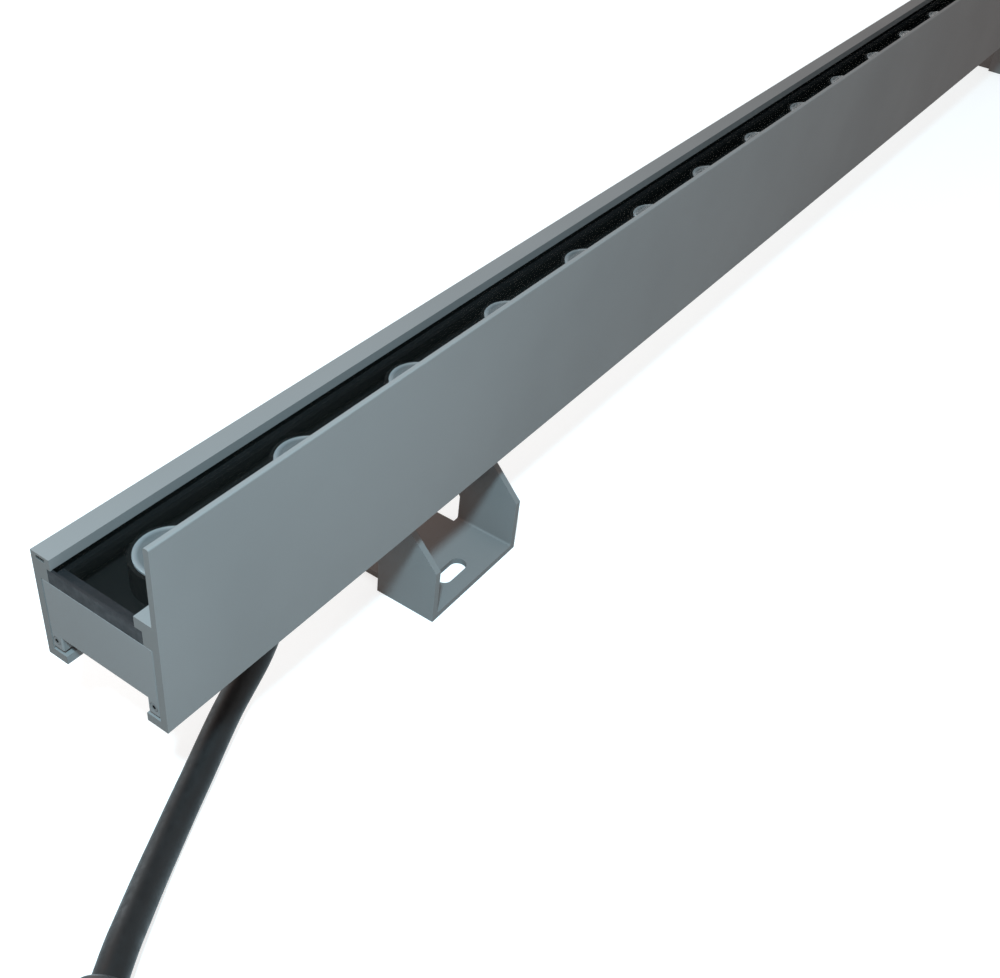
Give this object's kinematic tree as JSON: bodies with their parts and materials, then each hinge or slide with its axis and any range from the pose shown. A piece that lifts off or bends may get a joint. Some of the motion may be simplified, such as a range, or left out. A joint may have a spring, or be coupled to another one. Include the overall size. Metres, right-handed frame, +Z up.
{
  "type": "linear floodlight",
  "caption": "Linear outdoor floodlight: slim aluminium housing with a tall visor, lenses under glass, sliding tilting brackets and a supply cord with a round connector.",
  "frame": {"origin": "mounting surface under the middle of the lamp", "axes": "+X along the lamp away from the cord, +Y away from the visor, +Z up from the mounting surface"},
  "size_m": [1.0917, 0.1026, 0.1156],
  "materials": {
    "grey_powder_coat": "fine matt powder coat",
    "cap_coat": "matt powder coat",
    "stainless": "satin",
    "nickel_brass": "nickel plated",
    "glass": "clear, low reflection",
    "lens_plastic": "clear",
    "black_plastic": "matt",
    "board_black": "solder mask",
    "board_green": "solder mask",
    "chip_white": "gloss",
    "seal_rubber": "matt",
    "cord_rubber": "matt",
    "aluminium_bare": "mill finish"
  },
  "bodies": {
    "lamp": {"housing": "grey_powder_coat", "end_cap_near": "cap_coat", "end_cap_far": "cap_coat", "end_gasket_near": "seal_rubber", "end_gasket_far": "seal_rubber", "end_cap_screws_near": "stainless", "end_cap_screws_far": "stainless", "cover_glass": "glass", "glass_seals": "seal_rubber", "glass_end_seals": "seal_rubber", "led_board_near": "board_black", "led_board_far": "board_black", "leds": "chip_white", "lens_holders": "black_plastic", "lenses": "lens_plastic", "board_screws": "stainless", "board_link": "black_plastic", "driver_board": "board_green", "driver_parts": "black_plastic", "driver_standoffs": "nickel_brass", "driver_screws": "stainless", "supply_cores": "cord_rubber", "led_leads": "cord_rubber", "gland_body": "nickel_brass", "gland_locknut": "nickel_brass", "gland_washer": "seal_rubber", "gland_bush": "seal_rubber", "gland_nut": "nickel_brass", "cable_tail": "cord_rubber", "power_cord": "cord_rubber", "connector_nut": "black_plastic", "connector_tail": "cord_rubber", "connector_shell": "black_plastic", "connector_insert": "black_plastic", "connector_pins": "nickel_brass", "connector_seal": "seal_rubber"},
    "coupling_ring_body": {"coupling_ring": "black_plastic"},
    "near_hanger_body": {"near_hanger": "grey_powder_coat", "near_clamp_plate": "aluminium_bare", "near_clamp_screws": "stainless", "near_pivot_bolts": "stainless", "near_pivot_nuts": "stainless", "near_pivot_washers": "stainless"},
    "near_foot_body": {"near_foot": "grey_powder_coat"},
    "far_hanger_body": {"far_hanger": "grey_powder_coat", "far_clamp_plate": "aluminium_bare", "far_clamp_screws": "stainless", "far_pivot_bolts": "stainless", "far_pivot_nuts": "stainless", "far_pivot_washers": "stainless"},
    "far_foot_body": {"far_foot": "grey_powder_coat"}
  },
  "joints": [
    {"name": "near_slide", "type": "slide", "parent": "lamp", "child": "near_hanger_body", "axis": [1, 0, 0], "range_m": [-0.04, 0.32]},
    {"name": "near_tilt", "type": "hinge", "parent": "near_hanger_body", "child": "near_foot_body", "pos_m": [-0.3549, 0, 0.034], "axis": [1, 0, 0], "range_deg": [-50, 70]},
    {"name": "far_slide", "type": "slide", "parent": "lamp", "child": "far_hanger_body", "axis": [1, 0, 0], "range_m": [-0.375, 0.06]},
    {"name": "far_tilt", "type": "hinge", "parent": "far_hanger_body", "child": "far_foot_body", "pos_m": [0.41, 0, 0.034], "axis": [1, 0, 0], "range_deg": [-50, 70]},
    {"name": "coupling_ring_spin", "type": "hinge", "parent": "lamp", "child": "coupling_ring_body", "pos_m": [-0.5456, -0.0445, 0.0102], "axis": [-0.8601, -0.5101, 0], "continuous": true}
  ]
}
